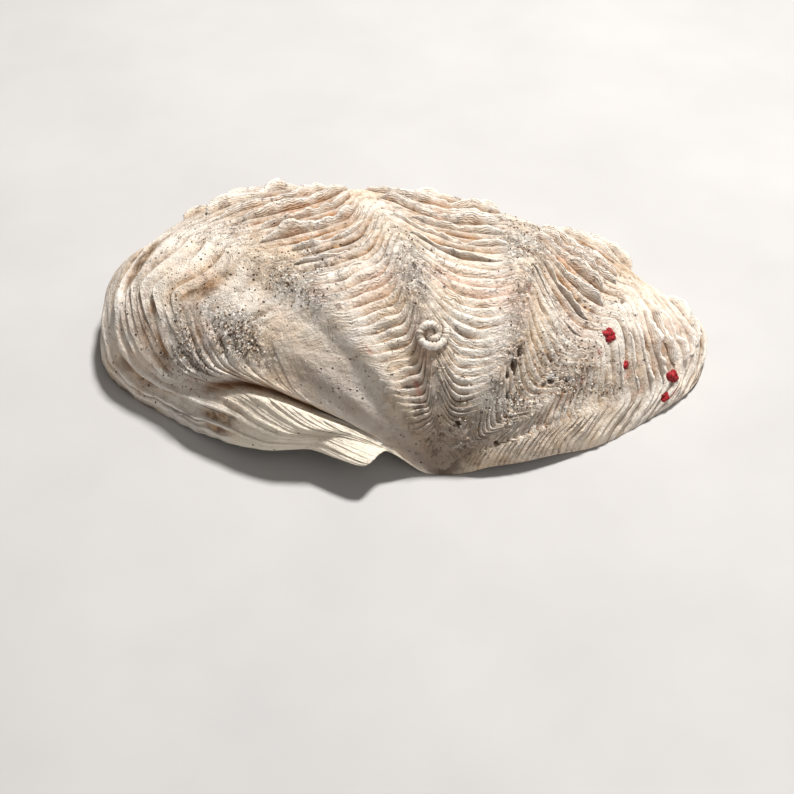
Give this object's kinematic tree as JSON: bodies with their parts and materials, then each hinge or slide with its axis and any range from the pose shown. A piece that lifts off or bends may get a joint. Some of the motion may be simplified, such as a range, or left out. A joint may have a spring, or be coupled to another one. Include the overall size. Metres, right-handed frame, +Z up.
{
  "type": "giant clam shell",
  "caption": "Single elongated giant clam valve, scalloped and ribbed with stacked lamellae, byssal gape and hollow underside, lying open side down.",
  "frame": {"origin": "middle of the footprint box, on the surface the valve rests on", "axes": "+X along the shell's length toward the hinge-side end, +Y from the beak toward the scalloped free edge, +Z up out of the convex face"},
  "size_m": [0.277, 0.16, 0.0748],
  "materials": {
    "shell": "chalky, worn",
    "worm_tube": "chalky",
    "red_crust": "matt"
  },
  "bodies": {
    "root": {"valve": "shell", "worm_tube": "worm_tube", "red_crust_upper": "red_crust", "red_crust_lower": "red_crust", "red_crust_edge": "red_crust", "red_crust_small": "red_crust"}
  },
  "joints": []
}
